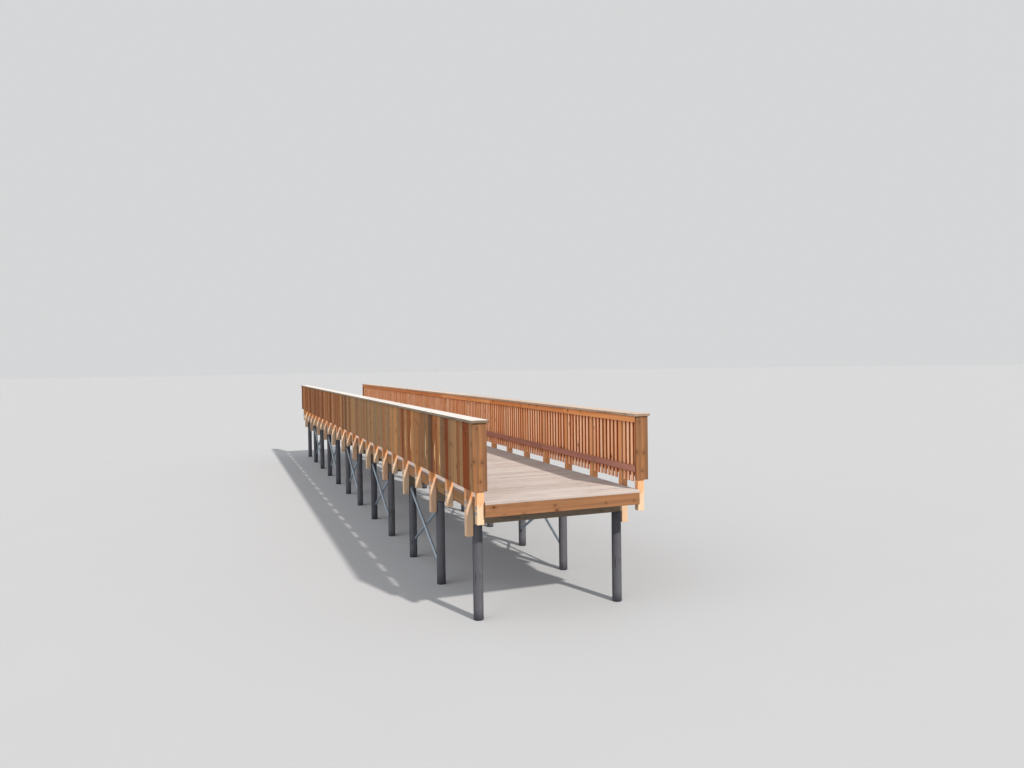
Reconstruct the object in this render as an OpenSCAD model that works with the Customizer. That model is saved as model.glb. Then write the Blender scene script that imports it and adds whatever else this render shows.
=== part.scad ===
/* [Bridge] */
// Number of full post spacings along the bridge, an even number
bays = 22; // [4:2:24]
// Distance between neighbouring posts of one parapet
bay = 1000; // [800:10:1100]
// Distance from the last of these posts to the closing post at each end
end_bay = 500; // [400:10:800]
// Width of the deck between the rows of posts
deck_w = 2400; // [1800:10:3000]
// Height of the deck's top above the feet of the piles
deck_z = 1800; // [1500:10:2600]

/* [Deck and beams] */
// Thickness of the deck boards
deck_t = 45; // [30:1:60]
// Nearest width to give to one deck board
deck_board_w = 145; // [120:1:200]
// Gap between two deck boards
deck_gap = 6; // [3:1:12]
// Width of one beam
beam_w = 75; // [50:1:100]
// Height of one beam
beam_h = 170; // [150:1:250]
// Distance from the bridge's middle line to the next inner beam
beam_gap = 560; // [450:5:650]
// Thickness of the boards that close the ends of the beams
end_board_t = 50; // [30:1:60]
// Number of post spacings that one length of timber covers, an even number
stock_bays = 4; // [2:2:6]
// Gap left where two lengths of timber meet end to end
butt_gap = 3; // [2:1:6]

/* [Posts] */
// Side of the square posts
post_a = 100; // [75:1:120]
// How far the long posts hang below the deck's top
long_drop = 580; // [500:5:700]
// How far the short posts hang below the deck's top
short_drop = 320; // [310:5:400]

/* [Parapet] */
// Height of the parapet above the deck's top
parapet_h = 1120; // [1000:5:1400]
// Thickness of the cap
cap_t = 40; // [30:1:60]
// How far the cap reaches past the inner rails, the outer boards and the ends
cap_over = 25; // [10:1:60]
// Thickness of the inner rails
rail_t = 45; // [30:1:60]
// Height of the inner rails
rail_h = 90; // [70:1:120]
// Height of the lower inner rail's bottom above the deck
low_rail_z = 253; // [180:1:300]
// Width of one slat
slat_w = 65; // [45:1:75]
// Thickness of one slat
slat_t = 22; // [16:1:30]
// Nearest gap to leave between two slats
slat_gap = 52; // [40:1:80]
// Height of the slats' lower ends above the deck
slat_z = 95; // [60:5:150]
// Thickness of the rails that carry the outer boards
back_rail_t = 38; // [25:1:50]
// Height of the rails that carry the outer boards
back_rail_h = 88; // [60:1:120]
// Height of the lower outer rail's bottom above the deck
back_low_z = 200; // [150:5:300]
// How far the upper outer rail's top lies below the cap
back_drop = 80; // [40:5:200]
// Thickness of the outer boards
board_t = 22; // [16:1:30]
// Nearest width to give to one outer board
board_w = 145; // [100:1:200]
// Gap between two outer boards
board_gap = 5; // [3:1:10]
// Height of the outer boards' lower ends above the deck
board_z = 140; // [80:1:160]

/* [Bents] */
// Width of the crossheads along the bridge
head_w = 100; // [80:1:150]
// Height of the crossheads
head_h = 200; // [150:1:250]
// Diameter of the round piles
pile_d = 150; // [120:1:200]
// Diameter of the braces
brace_d = 50; // [40:1:60]
// Distance between the two braces of one pair where they cross
brace_gap = 10; // [4:1:20]
// Height of the low end of a brace above the feet of the piles
brace_low = 330; // [200:5:450]
// How far the high end of a brace lies below the crossheads
brace_high = 40; // [35:5:250]

/* [Hidden] */
$fn = 48;

// Heights of the main levels
beam_z = deck_z - deck_t - beam_h;
head_z = beam_z - head_h;
cap_z = deck_z + parapet_h - cap_t;

// Distances from the middle line, going outwards
edge_y = deck_w / 2;
pile_y = edge_y - pile_d / 2;
rail_y = edge_y - rail_t;
back_y = edge_y + post_a;
board_y = back_y + back_rail_t;
skin_y = board_y + board_t;

// Places along the bridge of the posts, the closing posts included
end_x = bays * bay / 2 + end_bay;
function station(k) = k < 0 ? -end_x : k > bays ? end_x : (k - bays / 2) * bay;
parapet_l = 2 * end_x + post_a;
cover_l = parapet_l + 2 * board_t;
deck_l = cover_l + 2 * cap_over;

// A timber that lies along the bridge, in lengths that meet over post number first and from there on
module timber(long, first, y, wide, z, high) {
    joints = [for (k = [first : stock_bays : bays - 1]) station(k)];
    ends = concat([-(long + butt_gap) / 2], joints, [(long + butt_gap) / 2]);
    for (n = [0 : len(ends) - 2])
        translate([ends[n] + butt_gap / 2, y, z]) cube([ends[n + 1] - ends[n] - butt_gap, wide, high]);
}

// A row of boards that fills a length, each as near as can be to the width that is asked for
module board_row(long, wide, gap, y, deep, z, high) {
    count = round((long + gap) / (wide + gap));
    pitch = (long + gap) / count;
    for (n = [0 : count - 1])
        translate([n * pitch - long / 2, y, z]) cube([pitch - gap, deep, high]);
}

// Draws on the right side, or mirrored on the left side
module on_side(side) if (side > 0) children(); else mirror([0, 1, 0]) children();

module deck() color("#8a7a68")
    board_row(deck_l, deck_board_w, deck_gap, -edge_y, deck_w, deck_z - deck_t, deck_t);

module edge_beam(side) color("#7d6248") on_side(side)
    timber(deck_l - 2 * end_board_t, 4, edge_y - beam_w, beam_w, beam_z, beam_h);

module inner_beams() color("#7d6248")
    for (row = [-1 : 1])
        timber(deck_l - 2 * end_board_t, 2, row * beam_gap - beam_w / 2, beam_w, beam_z, beam_h);

module end_board(way) color("#8a6a4c")
    translate([way * (deck_l - end_board_t) / 2 - end_board_t / 2, -edge_y, beam_z])
        cube([end_board_t, deck_w, beam_h]);

module crossheads() color("#5c4a3a")
    for (k = [0 : 2 : bays])
        translate([station(k) - head_w / 2, -edge_y, head_z]) cube([head_w, deck_w, head_h]);

module piles(side) color("#4f453d") on_side(side)
    for (k = [0 : 2 : bays]) translate([station(k), pile_y, 0]) cylinder(d = pile_d, h = head_z);

// One diagonal between two piles, its ends cut to the round of the piles. The one that rises towards
// the near end lies inside the other.
module brace(k, way) {
    rise = head_z - brace_high - brace_low;
    run = 2 * bay;
    long = sqrt(rise * rise + run * run);
    difference() {
        translate([station(k + 1), pile_y - way * (brace_d + brace_gap) / 2, brace_low + rise / 2])
            rotate([0, way * atan2(run, rise), 0]) cylinder(d = brace_d, h = long, center = true);
        for (end = [k, k + 2]) translate([station(end), pile_y, 0]) cylinder(d = pile_d, h = head_z);
        translate([station(k) - bay, 0, 0]) cube([bay, deck_w, deck_z]);
        translate([station(k + 2), 0, 0]) cube([bay, deck_w, deck_z]);
    }
}

module braces(side) color("#9aa3a8") on_side(side)
    for (k = [2 : 4 : bays - 2], way = [-1, 1]) brace(k, way);

module post(k, drop)
    translate([station(k) - post_a / 2, edge_y, deck_z - drop])
        cube([post_a, post_a, drop + parapet_h - cap_t]);

module long_posts(side) color("#b07a48") on_side(side)
    for (k = [0 : 2 : bays]) post(k, long_drop);

module short_posts(side) color("#b07a48") on_side(side)
    for (k = [-1 : 2 : bays + 1]) post(k, short_drop);

module cap(side) color("#b9afa3") on_side(side)
    timber(deck_l, 2, rail_y - cap_over, skin_y - rail_y + 2 * cap_over, cap_z, cap_t);

module upper_rail(side) color("#9c6a48") on_side(side)
    timber(parapet_l, 4, rail_y, rail_t, cap_z - rail_h, rail_h);

module lower_rail(side) color("#9c6a48") on_side(side)
    timber(parapet_l, 3, rail_y, rail_t, deck_z + low_rail_z, rail_h);

// The slats between post k and the next one, with equal gaps
module bay_slats(k) {
    room = station(k + 1) - station(k) - post_a;
    count = round((room - slat_gap) / (slat_w + slat_gap));
    gap = (room - count * slat_w) / (count + 1);
    for (n = [0 : count - 1])
        translate([station(k) + post_a / 2 + gap + n * (slat_w + gap), edge_y, deck_z + slat_z])
            cube([slat_w, slat_t, parapet_h - cap_t - slat_z]);
}

module slats(side) color("#b2683c") on_side(side)
    for (k = [-1 : bays]) bay_slats(k);

module outer_rails(side) color("#9c6a48") on_side(side) {
    timber(parapet_l, 3, back_y, back_rail_t, deck_z + back_low_z, back_rail_h);
    timber(parapet_l, 5, back_y, back_rail_t, cap_z - back_drop - back_rail_h, back_rail_h);
}

module boarding(side) color("#a17a52") on_side(side)
    board_row(parapet_l, board_w, board_gap, board_y, board_t, deck_z + board_z, cap_z - deck_z - board_z);

// The upright boards that close a parapet's two ends
module end_covers(side) color("#a17a52") on_side(side)
    for (x = [-cover_l / 2, parapet_l / 2])
        translate([x, rail_y, deck_z + board_z])
            cube([board_t, skin_y - rail_y, cap_z - deck_z - board_z]);

deck();
edge_beam(-1);  // left_edge_beam
edge_beam(1);  // right_edge_beam
inner_beams();
end_board(1);  // near_end_board
end_board(-1);  // far_end_board
crossheads();
piles(-1);  // left_piles
piles(1);  // right_piles
braces(-1);  // left_braces
braces(1);  // right_braces
long_posts(-1);  // left_long_posts
long_posts(1);  // right_long_posts
short_posts(-1);  // left_short_posts
short_posts(1);  // right_short_posts
cap(-1);  // left_cap
cap(1);  // right_cap
upper_rail(-1);  // left_upper_rail
upper_rail(1);  // right_upper_rail
lower_rail(-1);  // left_lower_rail
lower_rail(1);  // right_lower_rail
slats(-1);  // left_slats
slats(1);  // right_slats
outer_rails(-1);  // left_outer_rails
outer_rails(1);  // right_outer_rails
boarding(-1);  // left_boarding
boarding(1);  // right_boarding
end_covers(-1);  // left_end_covers
end_covers(1);  // right_end_covers
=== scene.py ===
import math
import random

import bmesh
import bpy
from mathutils import Matrix, Vector, noise


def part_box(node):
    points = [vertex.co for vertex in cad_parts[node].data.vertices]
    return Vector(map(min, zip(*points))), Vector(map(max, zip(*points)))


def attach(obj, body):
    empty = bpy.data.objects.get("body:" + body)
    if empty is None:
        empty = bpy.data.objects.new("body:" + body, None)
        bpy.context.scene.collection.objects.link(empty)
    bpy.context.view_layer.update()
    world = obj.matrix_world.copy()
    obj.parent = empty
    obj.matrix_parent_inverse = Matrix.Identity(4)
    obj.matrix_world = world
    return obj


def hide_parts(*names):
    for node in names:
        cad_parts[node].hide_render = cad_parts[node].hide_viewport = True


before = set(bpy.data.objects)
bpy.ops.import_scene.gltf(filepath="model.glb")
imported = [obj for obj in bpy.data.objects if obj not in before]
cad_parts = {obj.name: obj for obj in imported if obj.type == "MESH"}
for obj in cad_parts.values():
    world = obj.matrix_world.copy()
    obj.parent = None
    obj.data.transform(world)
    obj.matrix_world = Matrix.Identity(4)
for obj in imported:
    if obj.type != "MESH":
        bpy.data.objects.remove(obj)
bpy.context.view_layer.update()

BODY = "root"
# The two parapets, and which way along Y each faces outwards
SIDES = {"left": -1, "right": 1}

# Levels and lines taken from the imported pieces, in metres
DECK_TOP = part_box("deck")[1].z
BEAM_LOW, BEAM_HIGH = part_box("right_edge_beam")
POST_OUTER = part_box("right_long_posts")[1].y
SKIN_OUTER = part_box("right_boarding")[1].y

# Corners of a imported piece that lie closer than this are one
WELD = 0.0002
# An edge whose faces turn by more than this, in radians, is an arris
SHARP = 1.0
# A face whose normal has more than this along an axis looks along it
FACING = 0.9


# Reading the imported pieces

def millimetres(vector):
    """A vector's values to the millimetre, to sort and compare by."""
    return tuple(round(value, 3) for value in vector)


def solids(node):
    """The lowest and highest corners of each separate solid of a node, in order along the bridge."""
    shape = bmesh.new()
    shape.from_mesh(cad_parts[node].data)
    bmesh.ops.remove_doubles(shape, verts=shape.verts, dist=WELD)
    waiting = set(shape.verts)
    boxes = []
    while waiting:
        group = [waiting.pop()]
        for vert in group:
            near = {edge.other_vert(vert) for edge in vert.link_edges} & waiting
            waiting -= near
            group.extend(near)
        low = Vector([min(vert.co[axis] for vert in group) for axis in range(3)])
        high = Vector([max(vert.co[axis] for vert in group) for axis in range(3)])
        boxes.append((low, high))
    shape.free()
    return sorted(boxes, key=lambda box: millimetres(box[0]))


def axes_of(size):
    """The axes of a timber in order: along its grain, across its width, through its thickness."""
    return sorted(range(3), key=lambda axis: -round(size[axis], 4))


def between(low, high, shares):
    """Places between two values, as shares of the way from low to high."""
    return [low + share * (high - low) for share in shares]


# Making and filling meshes

def mesh_of(shape, name="form"):
    """Turns a filled bmesh into a mesh and frees it."""
    mesh = bpy.data.meshes.new(name)
    shape.to_mesh(mesh)
    shape.free()
    return mesh


def put_in(shape, form):
    """Copies a form into a bmesh, and returns the corners and the faces that this adds."""
    first_vert, first_face = len(shape.verts), len(shape.faces)
    shape.from_mesh(form)
    shape.verts.ensure_lookup_table()
    shape.faces.ensure_lookup_table()
    return shape.verts[first_vert:], shape.faces[first_face:]


def show(name, data):
    """Adds an object to the scene."""
    made = bpy.data.objects.new(name, data)
    bpy.context.scene.collection.objects.link(made)
    return made


def finish_piece(name, shape, material, nodes=()):
    """Makes a filled bmesh a piece that rides on the bridge and stands for the nodes it is given."""
    mesh = mesh_of(shape, name)
    mesh.materials.append(material)
    piece = show(name, mesh)
    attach(piece, BODY)
    if nodes:
        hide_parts(*nodes)


def grained_mesh():
    """An empty bmesh with the layers that the wood reads.

    grain is the place in the tree, sap the place about a painted sliver of light and how strong that is,
    tone how dark the timber is, hue where it lies from olive to red, and cut is 1 on a sawn end.
    """
    shape = bmesh.new()
    for name in ("grain", "lit_sliver"):
        shape.verts.layers.float_vector.new(name)
    for name in ("tone", "hue"):
        shape.verts.layers.float.new(name)
    shape.faces.layers.float.new("cut")
    return shape


def bevel(shape, edges, width, segments=1):
    """Eases edges by a width."""
    bmesh.ops.bevel(shape, geom=edges, offset=width, offset_type="OFFSET", affect="EDGES",
                    segments=segments, profile=0.5, material=-1)


# Timbers

# Where a timber may lie in its tree: how far along it, how far to either side of the heart, and how far
# from the heart in depth
TREE_REACH = 40.0
HEART_ASIDE = 0.09
HEART_DEPTHS = (0.03, 0.12)
# How far a timber's hue strays by itself
HUE_STRAY = 0.2


def own_tone(middle, tone):
    """The tone that a timber has by itself."""
    return tone


def own_hue(middle, draw):
    """The hue that a timber has by itself."""
    return draw.uniform(-HUE_STRAY, HUE_STRAY)


def no_sliver(middle):
    """A timber without a painted sliver of light."""
    return None


def timber_form(size, arris, segments, cuts):
    """One sawn timber about the origin, with eased arrises and cuts along it that let it bow."""
    form = bmesh.new()
    bmesh.ops.create_cube(form, size=1)
    bmesh.ops.scale(form, vec=size, verts=form.verts)
    lengthwise = axes_of(size)[0]
    if cuts:
        long_edges = [edge for edge in form.edges
                      if abs((edge.verts[0].co - edge.verts[1].co)[lengthwise]) > size[lengthwise] / 2]
        bmesh.ops.subdivide_edges(form, edges=long_edges, cuts=cuts, use_grid_fill=True)
    sharp = [edge for edge in form.edges if edge.calc_face_angle(0) > SHARP]
    bevel(form, sharp, arris, segments)
    return mesh_of(form)


def add_timber(shape, form, box, draw, tone, hue, lit_sliver, bow, play):
    """Adds a copy of a timber's form in its place, slightly bowed and cut from its own part of a tree."""
    grain = shape.verts.layers.float_vector["grain"]
    lit_slivers = shape.verts.layers.float_vector["lit_sliver"]
    tones = shape.verts.layers.float["tone"]
    hues = shape.verts.layers.float["hue"]
    cut = shape.faces.layers.float["cut"]
    low, high = box
    size = high - low
    middle = (low + high) / 2
    lengthwise, wide, thin = axes_of(size)
    verts, faces = put_in(shape, form)
    heart_along = draw.uniform(-TREE_REACH, TREE_REACH)
    heart_aside = draw.uniform(-HEART_ASIDE, HEART_ASIDE)
    heart_below = draw.choice((-1, 1)) * draw.uniform(*HEART_DEPTHS)
    bend = draw.uniform(-bow, bow)
    shorter = draw.uniform(0, play)
    half = size[lengthwise] / 2
    for vert in verts:
        here = vert.co.copy()
        share = here[lengthwise] / half
        vert[grain] = (here[lengthwise] + heart_along, here[wide] + heart_aside, here[thin] + heart_below)
        vert[tones] = tone
        vert[hues] = hue
        if lit_sliver:
            level, reach, edge, strength = lit_sliver
            along = (middle[lengthwise] + here[lengthwise] - level) / reach
            vert[lit_slivers] = (along, here[wide] - edge, strength)
        here[lengthwise] -= shorter * share
        here[thin] += bend * (1 - share * share)
        vert.co = middle + here
    for face in faces:
        face[cut] = float(abs(face.normal[lengthwise]) > FACING)


def timbers(name, node, material, seed, arris=0.002, segments=1, cuts=0, bow=0.0, play=0.0,
            tone_of=own_tone, hue_of=own_hue, sliver_of=no_sliver):
    """The piece for a node whose solids are all sawn timbers.

    A timber is thinner by twice its bow, and shorter at each end by up to its play, so it stays within
    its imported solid.
    """
    draw = random.Random(seed)
    shape = grained_mesh()
    forms = {}
    for low, high in solids(node):
        size = high - low
        kind = millimetres(size)
        if kind not in forms:
            slim = size.copy()
            slim[axes_of(size)[2]] -= 2 * bow
            forms[kind] = timber_form(slim, arris, segments, cuts)
        middle = (low + high) / 2
        tone = tone_of(middle, draw.random())
        hue = hue_of(middle, draw)
        add_timber(shape, forms[kind], (low, high), draw, tone, hue, sliver_of(middle), bow, play)
    finish_piece(name, shape, material, [node])


# Materials

def colour(code):
    """A colour from its plain hexadecimal code, as the shader wants it."""
    values = [int(code[start:start + 2], 16) / 255 for start in (1, 3, 5)]
    linear = [value / 12.92 if value <= 0.04045 else ((value + 0.055) / 1.055) ** 2.4 for value in values]
    return (*linear, 1.0)


class Finish:
    """A material, and short calls that add nodes to it."""

    def __init__(self, name):
        self.material = bpy.data.materials.new(name)
        self.material.use_nodes = True
        self.tree = self.material.node_tree
        self.surface = self.tree.nodes["Principled BSDF"]

    def node(self, kind, inputs, **settings):
        """A new node. Inputs that are sockets are linked, and others are set."""
        made = self.tree.nodes.new(kind)
        for key, value in settings.items():
            setattr(made, key, value)
        for key, value in inputs.items():
            self.put(made.inputs[key], value)
        return made

    def put(self, socket, value):
        if isinstance(value, bpy.types.NodeSocket):
            self.tree.links.new(value, socket)
        else:
            socket.default_value = value

    def attribute(self, name, output="Fac"):
        return self.node("ShaderNodeAttribute", {}, attribute_name=name).outputs[output]

    def place(self):
        return self.node("ShaderNodeTexCoord", {}).outputs["Object"]

    def normal(self):
        return self.node("ShaderNodeNewGeometry", {}).outputs["Normal"]

    def number(self, operation, *values):
        made = self.node("ShaderNodeMath", dict(enumerate(values)), operation=operation)
        return made.outputs[0]

    def vector(self, operation, *values):
        made = self.node("ShaderNodeVectorMath", dict(enumerate(values)), operation=operation)
        return made.outputs["Value" if operation == "LENGTH" else "Vector"]

    def parts(self, vector):
        return self.node("ShaderNodeSeparateXYZ", {0: vector}).outputs

    def joined(self, x, y, z):
        return self.node("ShaderNodeCombineXYZ", {0: x, 1: y, 2: z}).outputs[0]

    def noise(self, vector, scale, detail=2.0, roughness=0.5, output="Fac"):
        made = self.node("ShaderNodeTexNoise", {"Vector": vector, "Scale": scale, "Detail": detail,
                                                "Roughness": roughness})
        return made.outputs[output]

    def drawn_noise(self, vector, cells, detail, roughness, output="Fac"):
        """Noise that is drawn out: cells says how many it has in a metre along each axis."""
        return self.noise(self.vector("MULTIPLY", vector, cells), 1.0, detail, roughness, output)

    def span(self, value, low, high, smooth=True):
        """How far a value is from low to high, held between 0 and 1."""
        kind = "SMOOTHSTEP" if smooth else "LINEAR"
        made = self.node("ShaderNodeMapRange", {"Value": value, "From Min": low, "From Max": high},
                         interpolation_type=kind, clamp=True)
        return made.outputs[0]

    def mix(self, share, first, second):
        made = self.node("ShaderNodeMix", {0: share, 6: first, 7: second}, data_type="RGBA")
        return made.outputs[2]

    def stain(self, base, where, amount, shade):
        """Lays a shade over the base where it should be, by at most an amount."""
        return self.mix(self.number("MULTIPLY", where, amount), base, shade)

    def ramp(self, value, stops):
        """A colour read from stops, each a position and a shade."""
        made = self.node("ShaderNodeValToRGB", {0: value})
        bar = made.color_ramp
        while len(bar.elements) < len(stops):
            bar.elements.new(0.5)
        for element, (position, shade) in zip(bar.elements, stops):
            element.position = position
            element.color = colour(shade)
        return made.outputs[0]

    def finish(self, base, roughness, height, depth, strength=0.6):
        """Gives the surface its colour, its roughness and its relief."""
        self.put(self.surface.inputs["Base Color"], base)
        self.put(self.surface.inputs["Roughness"], roughness)
        bump = self.node("ShaderNodeBump", {"Height": height, "Distance": depth, "Strength": strength})
        self.tree.links.new(bump.outputs[0], self.surface.inputs["Normal"])
        return self.material


# Cells in a metre of each pattern in the wood: along the grain, across it and through it
SWAY_CELLS = (0.8, 5.0, 5.0)
STREAK_CELLS = (0.7, 24.0, 24.0)
FIBRE_CELLS = (9.0, 420.0, 420.0)
PATCH_CELLS = (1.6, 5.0, 5.0)
SPLIT_CELLS = (1.1, 38.0, 38.0)
# The stretch of board that may hold one knot, and what it is measured as to draw the knot out along
# the grain
KNOT_CELL = (0.42, 0.115, 1.0)
KNOT_MEASURE = (0.3, 0.115, 0)
# The least radius of a knot, and how much more it may be
KNOT_RADIUS = 0.006
KNOT_VARIETY = 0.013
# Yearly rings: their width, how far they sway and lean along the tree, and how far a knot pushes them
RING_WIDTH = 0.0058
RING_SWAY = 0.05
RING_LEAN = 0.012
KNOT_PUSH = 0.008
# The width of a full painted sliver of light, and how far its edge wanders
SLIVER_WIDTH = 0.075
SLIVER_RAGGED = 0.07
# A post turns to its warmer colour, a painted light, over this height below the deck's top
POST_LIGHT_FADE = 0.12

DARK_WOOD = "#4a2c18"
# The pale of the painted slivers of light
SLIVER_PALE = "#eccc98"
# The deep red-brown of the painted shade on faces that look inwards
INWARD_SHADE_RED = "#601f08"
SPLIT_BLACK = "#1c120b"


def knots_in(f, grain, share):
    """Where the knots are, each in a cell of its own along the board, and the halo about each."""
    cells = f.vector("DIVIDE", f.vector("MULTIPLY", grain, (1, 1, 0)), KNOT_CELL)
    dots = f.node("ShaderNodeTexVoronoi", {"Vector": cells, "Scale": 1.0}, voronoi_dimensions="2D")
    away = f.vector("MULTIPLY", f.vector("SUBTRACT", cells, dots.outputs["Position"]), KNOT_MEASURE)
    chance = f.parts(dots.outputs["Color"])
    there = f.number("LESS_THAN", chance[0], share)
    radius = f.number("MULTIPLY_ADD", chance[1], KNOT_VARIETY, KNOT_RADIUS)
    radii_off = f.number("DIVIDE", f.vector("LENGTH", away), radius)
    knot = f.number("MULTIPLY", there, f.span(radii_off, 1.1, 0.7))
    halo = f.number("MULTIPLY", there, f.span(radii_off, 4.0, 1.0))
    return knot, halo


def late_wood(f, grain, halo):
    """The dark part of each yearly ring about the heart, bent aside by the knots."""
    slow = f.drawn_noise(grain, SWAY_CELLS, 2.0, 0.5, "Color")
    sway = f.vector("MULTIPLY", f.vector("SUBTRACT", slow, (0.5, 0.5, 0.5)), (0, RING_SWAY, RING_SWAY))
    x, y, z = f.parts(f.vector("ADD", grain, sway))
    leaning = f.joined(0.0, f.number("MULTIPLY_ADD", x, RING_LEAN, y), z)
    reach = f.number("MULTIPLY_ADD", halo, KNOT_PUSH, f.vector("LENGTH", leaning))
    year = f.number("FRACT", f.number("DIVIDE", reach, RING_WIDTH))
    return f.number("MULTIPLY", f.span(year, 0.35, 0.85), f.span(year, 1.0, 0.9))


def painted_sliver(f, broad, band):
    """A painted sliver of light: a pale ragged strip along one edge of a board, fullest at its foot and
    tapering to both its ends.
    """
    along, aside, strength = f.parts(f.attribute("lit_sliver", "Vector"))
    taper = f.number("MAXIMUM", f.number("SUBTRACT", 1.0, f.number("MULTIPLY", along, along)), 0.0)
    taper = f.number("MULTIPLY", taper, f.number("MULTIPLY_ADD", along, -0.45, 0.8))
    wander = f.number("SUBTRACT", broad, 0.5)
    ragged = f.number("MULTIPLY_ADD", wander, SLIVER_RAGGED, f.number("ABSOLUTE", aside))
    width = f.number("MULTIPLY_ADD", taper, SLIVER_WIDTH, 0.0001)
    strip = f.span(f.number("DIVIDE", ragged, width), 1.0, 0.75)
    strip = f.number("MULTIPLY", strip, f.number("MULTIPLY_ADD", band, -0.5, 1.0))
    return f.number("MULTIPLY", strip, strength)


def greying(f, up, broad, patch, hue, silvered, silver_top, patchy):
    """How grey the weather has made the wood: in patches, most on top, more on olive wood, less on red."""
    grey = f.number("MULTIPLY_ADD", f.span(up, 0.3, 0.9), silver_top, silvered)
    grey = f.number("MULTIPLY", grey, f.span(f.number("MULTIPLY_ADD", broad, 0.5, patch), *patchy))
    grey = f.number("MULTIPLY", grey, f.number("SUBTRACT", 1.0, f.number("MAXIMUM", hue, 0.0)))
    more = f.number("MULTIPLY_ADD", f.number("MINIMUM", hue, 0.0), -2.0, 1.0)
    return f.number("MULTIPLY", grey, more)


def splits_in(f, grain, patch, amount):
    """Fine drying checks along the grain, in some patches only."""
    line = f.drawn_noise(grain, SPLIT_CELLS, 1.0, 0.4)
    split = f.span(f.number("ABSOLUTE", f.number("SUBTRACT", line, 0.5)), 0.012, 0.003)
    return f.number("MULTIPLY", split, f.number("MULTIPLY", f.span(patch, 0.5, 0.6), amount))


def wood(name, tones, red="#8a3c18", olive="#8c7a48", knots=0.45, ring=0.3, streak=0.5, silver="#a8a39b",
         silvered=0.0, silver_top=0.0, patchy=(0.35, 0.85), checks=0.0, painted_inward_shade=0.0, painted_deck_light=None,
         edges=None, gloss=0.08, rough=0.75, depth=0.0012):
    """Softwood with rings, streaks, knots and drying checks along its grain, which greys where it weathers.

    tones are its shades from pale to dark, red and olive what its hue turns it to. knots, ring, streak and
    checks say how much of each it has. silver is its grey, silvered how much of that it has all over and
    silver_top how much more on top, and patchy from where to where in its patches that grows. sheltered
    is how much painted shade, a deep red-brown, it takes where it looks inwards, painted_deck_light a
    warmer shade painted as light above the deck, and edges the painted shade of faces that look along the
    bridge. gloss and rough set its sheen, and depth how far its grain stands out.
    """
    f = Finish(name)
    f.surface.inputs["Specular IOR Level"].default_value = gloss
    dark = colour(DARK_WOOD)
    grain = f.attribute("grain", "Vector")
    hue = f.attribute("hue")
    broad = f.drawn_noise(grain, STREAK_CELLS, 3.0, 0.55)
    fibre = f.drawn_noise(grain, FIBRE_CELLS, 2.0, 0.6)
    patch = f.drawn_noise(grain, PATCH_CELLS, 2.0, 0.5)
    band = f.span(broad, 0.3, 0.7, smooth=False)
    knot, halo = knots_in(f, grain, knots)
    late = late_wood(f, grain, halo)
    rings = f.number("MULTIPLY", late, ring)

    # The timber's own colour, and painted slivers of light
    tone = f.number("MULTIPLY", f.attribute("tone"), 1.0 - streak)
    base = f.ramp(f.number("MULTIPLY_ADD", band, streak, tone), tones)
    redness = f.number("MAXIMUM", hue, 0.0)
    base = f.mix(redness, base, f.mix(f.number("MULTIPLY", band, 0.6), colour(red), base))
    greenness = f.number("MAXIMUM", f.number("MULTIPLY", hue, -1.0), 0.0)
    base = f.mix(greenness, base, f.mix(f.number("MULTIPLY", band, 0.5), colour(olive), base))
    # Painted light: pale slivers of sun along one edge of some outer boards
    base = f.mix(painted_sliver(f, broad, band), base, colour(SLIVER_PALE))

    # Its rings, fibres and knots
    base = f.mix(rings, base, f.mix(0.55, base, dark))
    base = f.stain(base, f.span(fibre, 0.35, 0.75), 0.16, dark)
    base = f.stain(base, halo, 0.3, dark)
    base = f.stain(base, knot, 0.9, dark)

    # Weather, then painted shade and painted warm light by which way a face looks and how high it is
    lengthwise, outward, up = f.parts(f.normal())
    across, level = f.parts(f.place())[1:]
    grey = greying(f, up, broad, patch, hue, silvered, silver_top, patchy)
    base = f.mix(grey, base, f.mix(rings, colour(silver), base))
    # Painted shade: faces that look inwards, into the shaded gap between the skins, take a deep red-brown
    if painted_inward_shade:
        inward = f.span(f.number("MULTIPLY", outward, f.number("SIGN", across)), -0.3, -0.8)
        base = f.stain(base, inward, painted_inward_shade, colour(INWARD_SHADE_RED))
    # Painted shade: faces that look along the bridge, such as the slats' sides, take a darker red-brown
    if edges:
        edge = f.span(f.number("ABSOLUTE", lengthwise), 0.5, 0.9)
        base = f.stain(base, edge, 0.85, colour(edges))
    # Painted light: from just under the deck's top upwards a post turns a warmer orange, for the warm light
    # there
    if painted_deck_light:
        raised = f.span(level, DECK_TOP - POST_LIGHT_FADE, DECK_TOP)
        warmer = f.mix(f.number("MULTIPLY", band, 0.6), colour(painted_deck_light), base)
        base = f.stain(base, raised, 0.8, warmer)

    # Relief, splits and sawn ends
    height = f.number("MULTIPLY_ADD", fibre, 0.5, f.number("MULTIPLY", late, 0.35))
    if checks:
        split = splits_in(f, grain, patch, checks)
        base = f.mix(split, base, colour(SPLIT_BLACK))
        height = f.number("SUBTRACT", height, f.number("MULTIPLY", split, 2.0))
    base = f.stain(base, f.attribute("cut"), 0.45, dark)
    shine = f.number("MULTIPLY_ADD", fibre, 0.2, rough - 0.1)
    return f.finish(base, shine, height, depth)


def zinc(name):
    """Steel with a dull galvanised coat: faint flakes, a few dark scuffs and a soft shine."""
    f = Finish(name)
    f.surface.inputs["Metallic"].default_value = 0.75
    place = f.place()
    flakes = f.node("ShaderNodeTexVoronoi", {"Vector": place, "Scale": 140.0})
    shade = f.parts(flakes.outputs["Color"])[0]
    cloud = f.noise(place, 7.0, 4.0, 0.6)
    base = f.mix(shade, colour("#8c9aa8"), colour("#a4b2c0"))
    base = f.mix(f.span(cloud, 0.55, 0.8), base, colour("#727e8a"))
    rough = f.number("MULTIPLY_ADD", cloud, 0.25, 0.35)
    return f.finish(base, rough, shade, 0.0002, 0.3)


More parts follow.
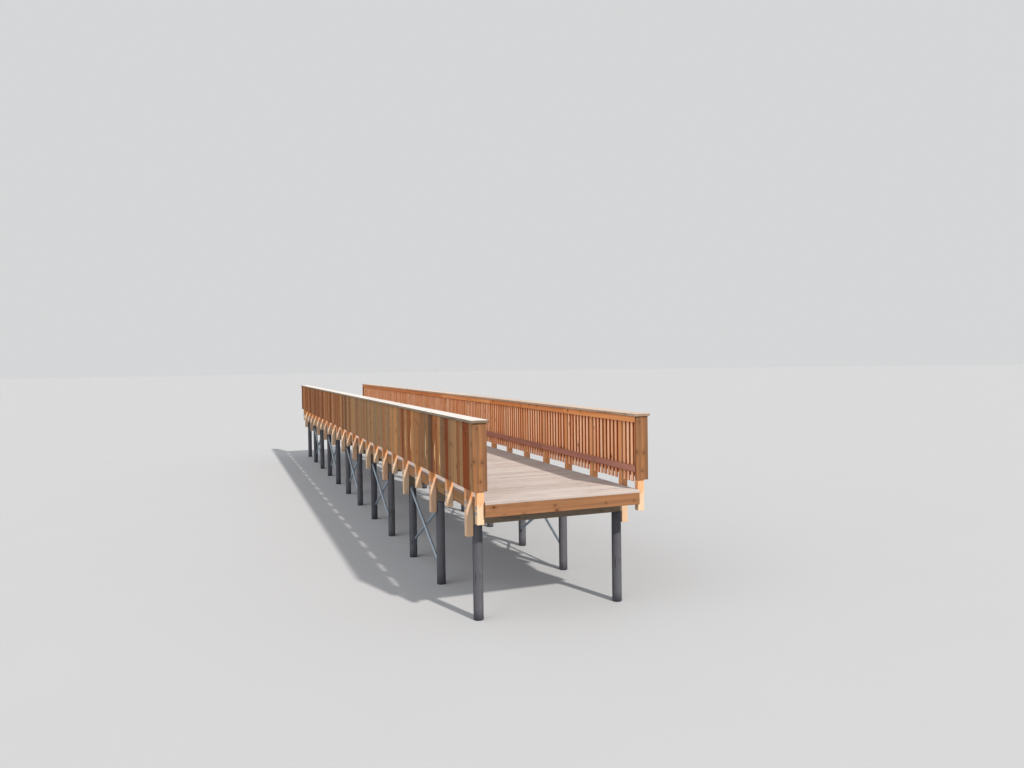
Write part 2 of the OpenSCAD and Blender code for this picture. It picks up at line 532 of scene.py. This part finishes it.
def studio_paint(name, first, second):
    """Dull pale paint that clouds faintly from one shade to another."""
    f = Finish(name)
    place = f.place()
    base = f.mix(f.noise(place, 0.4), colour(first), colour(second))
    f.surface.inputs["Specular IOR Level"].default_value = 0.1
    return f.finish(base, 0.9, f.noise(place, 30.0), 0.0005, 0.1)


# The outer boards' faces that look inwards take a deep red-brown painted shade
OUTER = wood("outer_board_wood", ((0.0, "#bf8752"), (0.35, "#9b663c"), (0.7, "#794a2a"), (1.0, "#452b1c")),
             knots=0.65, streak=0.42, silvered=0.08, silver="#988c80", red="#721f03", olive="#8c704a",
             painted_inward_shade=1.0, gloss=0.03)
# The posts turn a warmer orange above the deck as painted light
POST = wood("post_wood", ((0.0, "#e6c8a6"), (0.5, "#d4ae88"), (1.0, "#ba8c68")), checks=0.7, knots=0.35,
            red="#b8704a", silvered=0.4, silver="#c2b4a8", painted_deck_light="#d88640")
# The two caps are one timber painted for the light each had: the left's near-white top is greying with
# painted glare and its dark sides partly painted shade; the right's top is browner and its sides paler
SILVER_CAP_PAINTED_LIGHT = wood("silver_cap_painted_light_wood", ((0.0, "#8a8064"), (0.5, "#7a7058"), (1.0, "#685f4a")), silvered=0.15,
                silver_top=0.95, silver="#d2cfce", patchy=(0.05, 0.6), ring=0.4, checks=0.7)
BROWN_CAP_PAINTED_LIGHT = wood("brown_cap_painted_light_wood", ((0.0, "#c8b7a4"), (0.5, "#b9a692"), (1.0, "#a38e7a")), silvered=0.15,
                 silver_top=0.6, silver="#bfb3aa", patchy=(0.05, 0.6), ring=0.4, checks=0.7)
RAIL = wood("rail_wood", ((0.0, "#e8a872"), (0.5, "#d88c54"), (1.0, "#bc703e")), knots=0.4)
# The lower rail is the rail wood painted darker and mauve as shade, with a little real greying
SHADED_RAIL = wood("shaded_rail_wood", ((0.0, "#bc8270"), (0.5, "#a46a5c"), (1.0, "#885446")), knots=0.4,
                silvered=0.15, silver="#a89a94")
# The back rails' faces that look inwards take a deep red-brown painted shade
BACK_RAIL = wood("back_rail_wood", ((0.0, "#b08258"), (0.5, "#986840"), (1.0, "#7c5032")), painted_inward_shade=0.7)
# The slats are the boards' timber painted paler and warmer, partly for the warm light bounced onto them;
# their faces that look along the bridge take the painted shade of edges
BOUNCE_LIT_SLAT = wood("bounce_lit_slat_wood", ((0.0, "#ffdcb8"), (0.4, "#fac49c"), (0.75, "#e8a474"), (1.0, "#ca7c50")),
            knots=0.3, red="#d06a38", edges="#c86236")
DECK = wood("deck_wood", ((0.0, "#b6aaa4"), (0.45, "#a0938e"), (1.0, "#7a6c66")), silvered=0.4,
            silver_top=0.4, silver="#b7b0ae", patchy=(0.2, 0.8), ring=0.45, checks=0.4)
BEAM = wood("beam_wood", ((0.0, "#a88260"), (0.5, "#906c4e"), (1.0, "#74563e")), checks=0.6)
BENT = wood("bent_wood", ((0.0, "#6e5a48"), (0.5, "#5c4a3a"), (1.0, "#4a3c30")), checks=0.9, silvered=0.2)
PILE = wood("pile_wood", ((0.0, "#5f5f63"), (0.5, "#474a52"), (1.0, "#34363e")), checks=1.0, silvered=0.3,
            silver="#787c84", rough=0.85, depth=0.003)
ZINC = zinc("dull_zinc")
CAPS = {"left": SILVER_CAP_PAINTED_LIGHT, "right": BROWN_CAP_PAINTED_LIGHT}


# Deck, beams and parapets

# Boards of the outer skin whose colour the photo shows, by their places along the bridge, in metres.
# A red board also has its hue.
RED_BOARDS = ((11.18, 1.0), (11.33, 0.6), (10.32, 0.75), (9.5, 0.45), (7.3, 0.35))
OLIVE_BOARDS = (7.0, 8.15, 9.0, 10.0)
OLIVE_HUE = -0.6
DARK_BOARD = 9.25
DARK_TONE = 1.6
# The middle of the stretch where the boards are dull, how far that reaches and how olive it is
DULL_STRETCH = 3.2
DULL_REACH = 2.5
DULLNESS = 0.8
# How far an outer board's hue strays, and how much redder and darker the boards get with each metre
# towards the far end
OUTER_STRAY = 0.5
REDDER = 0.03
DARKER = 0.012
# Painted slivers of sunlight on board edges, drawn as pale strips: place along the bridge, height of the
# middle, half their length, strength
PAINTED_SLIVERS = ((7.4, 2.35, 0.2, 0.5), (7.9, 2.36, 0.23, 0.9), (8.9, 2.35, 0.23, 1.0),
              (9.46, 2.31, 0.17, 0.9), (9.87, 2.21, 0.12, 0.7))
HALF_BOARD = 0.075
# Hue of the boards that close the ends: a little olive, part of their painted shade
END_SHADE_HUE = -0.25


def is_at(middle, place):
    """Whether the board with this middle is the one at a place along the bridge."""
    return abs(middle.x - place) < HALF_BOARD


def batch(place, rate, amount):
    """What boards from one log share: a slow wander along the bridge."""
    return amount * noise.noise(Vector((place * rate, rate, 0)))


def outer_hue(middle, draw):
    """Hue of an outer board, from olive to red: mixed along the bridge, redder at its far end."""
    for place, amount in RED_BOARDS:
        if is_at(middle, place):
            return amount
    for place in OLIVE_BOARDS:
        if is_at(middle, place):
            return OLIVE_HUE
    dull = DULLNESS * math.exp(-((middle.x - DULL_STRETCH) / DULL_REACH) ** 2)
    own = draw.uniform(-OUTER_STRAY, OUTER_STRAY)
    return own + batch(middle.x, rate=0.7, amount=0.4) - REDDER * middle.x - dull


def outer_tone(middle, tone):
    """Darkness of an outer board: its own, its batch's, and a little more towards the far end."""
    if is_at(middle, DARK_BOARD):
        return DARK_TONE
    return 1.1 * tone - 0.05 + batch(middle.x, rate=1.7, amount=0.6) - DARKER * middle.x


def outer_sliver(middle):
    """The painted sliver of light on an outer board: its level, half its length, its edge and its strength.
    """
    for place, level, reach, strength in PAINTED_SLIVERS:
        if is_at(middle, place):
            return (level, reach, HALF_BOARD, strength)
    return None


def end_shade_hue(middle, draw):
    """Hue of a board that closes an end: a little olive, as part of its painted shade."""
    return END_SHADE_HUE


def end_shade_tone(middle, tone):
    """Darkness of a board that closes an end: never a pale one, as painted shade."""
    return 0.5 + 0.4 * tone


for side in SIDES:
    timbers(f"{side}_boards", f"{side}_boarding", OUTER, cuts=3, bow=0.0015, play=0.003,
            seed=11, hue_of=outer_hue, tone_of=outer_tone, sliver_of=outer_sliver)
    # The end boards are kept dark and olive as painted shade
    timbers(f"{side}_end_boards", f"{side}_end_covers", OUTER, cuts=3, bow=0.001, seed=12,
            hue_of=end_shade_hue, tone_of=end_shade_tone)
    timbers(f"{side}_slat_row", f"{side}_slats", BOUNCE_LIT_SLAT, cuts=2, bow=0.001, play=0.003,
            seed=13)
    timbers(f"{side}_cap_boards", f"{side}_cap", CAPS[side], arris=0.005, segments=2, cuts=7,
            bow=0.0004, seed=14)
    timbers(f"{side}_top_rail", f"{side}_upper_rail", RAIL, arris=0.003, cuts=7, seed=15)
    timbers(f"{side}_mid_rail", f"{side}_lower_rail", SHADED_RAIL, arris=0.003, cuts=7, seed=16)
    timbers(f"{side}_back_rails", f"{side}_outer_rails", BACK_RAIL, seed=17)
    timbers(f"{side}_tall_posts", f"{side}_long_posts", POST, arris=0.004, seed=18)
    timbers(f"{side}_low_posts", f"{side}_short_posts", POST, arris=0.004, seed=19)
    timbers(f"{side}_outer_beam", f"{side}_edge_beam", BEAM, arris=0.004, seed=20)
timbers("deck_planks", "deck", DECK, arris=0.003, cuts=3, bow=0.001, play=0.002, seed=21)
timbers("middle_beams", "inner_beams", BEAM, arris=0.004, seed=22)
timbers("near_closing_board", "near_end_board", BEAM, arris=0.004, seed=23)
timbers("far_closing_board", "far_end_board", BEAM, arris=0.004, seed=24)
timbers("bent_heads", "crossheads", BENT, arris=0.005, seed=25)


# Piles and braces

PILE_EASE = 0.006
# How deep a pile's hollows are on average, as a share of its radius, and how many there are in a metre
HOLLOW = 0.02
HOLLOW_CELLS = Vector((14, 14, 2))


def pile_form(radius, height):
    """A round pile about the origin, with an eased top."""
    form = bmesh.new()
    bmesh.ops.create_cone(form, cap_ends=True, segments=24, radius1=radius, radius2=radius, depth=height)
    upright = [edge for edge in form.edges if abs(edge.verts[0].co.z - edge.verts[1].co.z) > height / 2]
    bmesh.ops.subdivide_edges(form, edges=upright, cuts=7)
    rim = [edge for edge in form.edges
           if all(vert.co.z > 0 for vert in edge.verts) and edge.calc_face_angle(0) > SHARP]
    bevel(form, rim, PILE_EASE)
    return mesh_of(form)


def round_piles(name, node, seed):
    """The piece for a node of piles, which are never quite round."""
    draw = random.Random(seed)
    shape = grained_mesh()
    grain = shape.verts.layers.float_vector["grain"]
    tones = shape.verts.layers.float["tone"]
    cut = shape.faces.layers.float["cut"]
    for low, high in solids(node):
        middle = (low + high) / 2
        verts, faces = put_in(shape, pile_form((high.x - low.x) / 2, high.z - low.z))
        shift = draw.uniform(-TREE_REACH, TREE_REACH)
        tone = draw.random()
        for vert in verts:
            here = vert.co.copy()
            vert[grain] = (here.z + shift, here.x, here.y)
            vert[tones] = tone
            lump = noise.noise(here * HOLLOW_CELLS + Vector((0, 0, shift)))
            pull = 1 - HOLLOW * (1 + lump)
            vert.co = middle + Vector((here.x * pull, here.y * pull, here.z))
        for face in faces:
            is_end = abs(face.normal.z) > FACING
            face[cut] = float(is_end)
            face.smooth = not is_end
    finish_piece(name, shape, PILE, [node])


for side in SIDES:
    round_piles(f"{side}_round_piles", f"{side}_piles", seed=31)
    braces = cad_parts[f"{side}_braces"]
    braces.data.materials.clear()
    braces.data.materials.append(ZINC)


# Fixings

HEAD_HEIGHT = 0.0012
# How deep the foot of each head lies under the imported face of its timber, which is itself a little less
# thick here
DECK_SINK = 0.0004
NAIL_SINK = 0.0018
CAP_SINK = 0.0012
WASHER_THICK = 0.003
BOLT_EASE = 0.0015
# How far the bolts lie from the top and bottom of the edge beams
BOLT_INSET = 0.045
# Screws of rails and caps stand a little past the middle of a post, and those of a rail are staggered
SCREW_SHIFT = 0.02
STAGGER = 0.06
# Where the fixings lie across a timber, as shares of its width
DECK_SHARES = (0.22, 0.78)
NAIL_SHARES = (0.2, 0.8)
RAIL_SHARES = (0.25, 0.75)
CAP_SHARES = (0.3, 0.7)
# The rows of inner beams, each of which starts with a length at the far end
INNER_BEAMS = 3


def scatter(name, form, places):
    """Many small equal fixings as one piece. Each place is a matrix."""
    shape = bmesh.new()
    for place in places:
        verts, faces = put_in(shape, form)
        bmesh.ops.transform(shape, matrix=place, verts=verts)
    finish_piece(name, shape, ZINC)


def head_form(radius):
    """A low round head with sloping sides, its foot at the origin, looking along +Z."""
    form = bmesh.new()
    bmesh.ops.create_cone(form, cap_ends=True, segments=8, radius1=radius, radius2=radius * 0.8,
                          depth=HEAD_HEIGHT)
    bmesh.ops.translate(form, vec=(0, 0, HEAD_HEIGHT / 2), verts=form.verts)
    return mesh_of(form)


def bolt_form(washer, head, height):
    """A round washer with an eased six-sided head on it, looking along +Z."""
    form = bmesh.new()
    plate = bmesh.ops.create_cone(form, cap_ends=True, segments=20, radius1=washer, radius2=washer,
                                  depth=WASHER_THICK)
    bmesh.ops.translate(form, vec=(0, 0, WASHER_THICK / 2), verts=plate["verts"])
    nut = bmesh.ops.create_cone(form, cap_ends=True, segments=6, radius1=head, radius2=head, depth=height)
    middle = WASHER_THICK + height / 2
    bmesh.ops.translate(form, vec=(0, 0, middle), verts=nut["verts"])
    bevel(form, [edge for edge in form.edges if all(vert.co.z > middle for vert in edge.verts)], BOLT_EASE)
    return mesh_of(form)


def looking(way):
    """Turns a form that looks along +Z to look along a level direction or straight up."""
    return Vector((0, 0, 1)).rotation_difference(Vector(way)).to_matrix().to_4x4()


def at(x, y, z, turn):
    """The place of a fixing: its foot, and the turn that it looks by."""
    return Matrix.Translation((x, y, z)) @ turn


NAIL = head_form(0.004)
SCREW = head_form(0.005)
BOLT = bolt_form(washer=0.024, head=0.014, height=0.011)
UPWARD = looking((0, 0, 1))


def deck_screws():
    """Two screws through each deck board into each of the five beams under it."""
    rows = [(low.y + high.y) / 2 for low, high in solids("inner_beams")[:INNER_BEAMS]]
    rows += [way * (BEAM_LOW.y + BEAM_HIGH.y) / 2 for way in SIDES.values()]
    screws = []
    for low, high in solids("deck"):
        for row in rows:
            for x in between(low.x, high.x, DECK_SHARES):
                screws.append(at(x, row, high.z - DECK_SINK, UPWARD))
    scatter("deck_screws", SCREW, screws)


def board_nails(side, way):
    """Two nails through each outer board into each of the two rails behind it."""
    levels = sorted({round((low.z + high.z) / 2, 3) for low, high in solids(f"{side}_outer_rails")})
    nails = []
    for low, high in solids(f"{side}_boarding"):
        for level in levels:
            for x in between(low.x, high.x, NAIL_SHARES):
                nails.append(at(x, way * (SKIN_OUTER - NAIL_SINK), level, looking((0, way, 0))))
    scatter(f"{side}_board_nails", NAIL, nails)


def post_bolts(side, way, posts):
    """Two bolts through each post and the edge beam, with a head outside and one inside."""
    bolts = []
    for low, high in posts:
        x = (low.x + high.x) / 2
        for level in (BEAM_LOW.z + BOLT_INSET, BEAM_HIGH.z - BOLT_INSET):
            bolts.append(at(x, way * POST_OUTER, level, looking((0, way, 0))))
            bolts.append(at(x, way * BEAM_LOW.y, level, looking((0, -way, 0))))
    scatter(f"{side}_post_bolts", BOLT, bolts)


def rail_screws(side, way, posts):
    """Two staggered screws through each inner rail into each post."""
    screws = []
    for rail in ("upper", "lower"):
        rail_low, rail_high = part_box(f"{side}_{rail}_rail")
        inner = min(abs(rail_low.y), abs(rail_high.y))
        for low, high in posts:
            for share in RAIL_SHARES:
                x = (low.x + high.x) / 2 + (share - 0.5) * STAGGER + SCREW_SHIFT
                level = rail_low.z + share * (rail_high.z - rail_low.z)
                screws.append(at(x, way * inner, level, looking((0, -way, 0))))
    scatter(f"{side}_rail_screws", SCREW, screws)


def cap_screws(side, posts):
    """Two screws through the cap into each post."""
    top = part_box(f"{side}_cap")[1].z
    screws = []
    for low, high in posts:
        for y in between(low.y, high.y, CAP_SHARES):
            screws.append(at((low.x + high.x) / 2 + SCREW_SHIFT, y, top - CAP_SINK, UPWARD))
    scatter(f"{side}_cap_screws", SCREW, screws)


deck_screws()
for side, way in SIDES.items():
    posts = solids(f"{side}_long_posts") + solids(f"{side}_short_posts")
    board_nails(side, way)
    post_bolts(side, way, posts)
    rail_screws(side, way, posts)
    cap_screws(side, posts)


# Studio

# The floor's radius, and how far it lies under the piles' feet
FLOOR_REACH = 400.0
FLOOR_DROP = 0.002

# The camera that was fitted to the photograph
CAMERA_PLACE = (21.601, -4.556, 3.680)
CAMERA_HEADING = math.radians(20.657)
CAMERA_PITCH = math.radians(-1.492)
CAMERA_ROLL = math.radians(0.821)
LENS_MM = 27.33
SENSOR_MM = 36.0
CAMERA_REACH = 1000.0


def studio_floor():
    """A round pale floor, just under the piles' feet, that reaches to the horizon."""
    form = bmesh.new()
    bmesh.ops.create_circle(form, cap_ends=True, segments=96, radius=FLOOR_REACH)
    bmesh.ops.translate(form, vec=(0, 0, -FLOOR_DROP), verts=form.verts)
    mesh = mesh_of(form, "studio_floor")
    mesh.materials.append(studio_paint("studio_pale", "#a7aaaf", "#a5a8ad"))
    floor = show("studio_floor", mesh)


def soft_sun(name, heading, height, strength, spread, tint):
    """A far, soft light: heading in degrees from +X towards +Y, height in degrees above the floor."""
    light = bpy.data.lights.new(name, "SUN")
    light.energy = strength
    light.angle = math.radians(spread)
    light.color = colour(tint)[:3]
    around, up = math.radians(heading), math.radians(height)
    way = Vector((math.cos(around) * math.cos(up), math.sin(around) * math.cos(up), math.sin(up)))
    lamp = show(name, light)
    lamp.rotation_euler = way.to_track_quat("Z", "Y").to_euler()


def world_light(shade, strength):
    """Even light from all round."""
    world = bpy.data.worlds.new("studio_air")
    world.use_nodes = True
    back = world.node_tree.nodes["Background"]
    back.inputs["Color"].default_value = colour(shade)
    back.inputs["Strength"].default_value = strength
    bpy.context.scene.world = world


def photo_camera():
    """The camera where the photograph was taken from, looking along the bridge from its near end."""
    data = bpy.data.cameras.new("camera")
    data.lens = LENS_MM
    data.sensor_width = SENSOR_MM
    data.clip_end = CAMERA_REACH
    camera = show("camera", data)
    forward = Vector((-math.cos(CAMERA_HEADING) * math.cos(CAMERA_PITCH),
                      math.sin(CAMERA_HEADING) * math.cos(CAMERA_PITCH), math.sin(CAMERA_PITCH)))
    level = forward.cross(Vector((0, 0, 1))).normalized()
    raised = level.cross(forward)
    right = level * math.cos(CAMERA_ROLL) - raised * math.sin(CAMERA_ROLL)
    upward = level * math.sin(CAMERA_ROLL) + raised * math.cos(CAMERA_ROLL)
    turn = Matrix((right, upward, -forward)).transposed()
    camera.matrix_world = Matrix.Translation(CAMERA_PLACE) @ turn.to_4x4()
    bpy.context.scene.camera = camera


studio_floor()
soft_sun("key", heading=17.0, height=40.0, strength=4.6, spread=2.0, tint="#fff6ea")
soft_sun("fill", heading=-75.0, height=35.0, strength=1.25, spread=60.0, tint="#fffaf4")
world_light("#f4f5f6", strength=0.74)
photo_camera()
bpy.context.scene.view_settings.view_transform = "Standard"
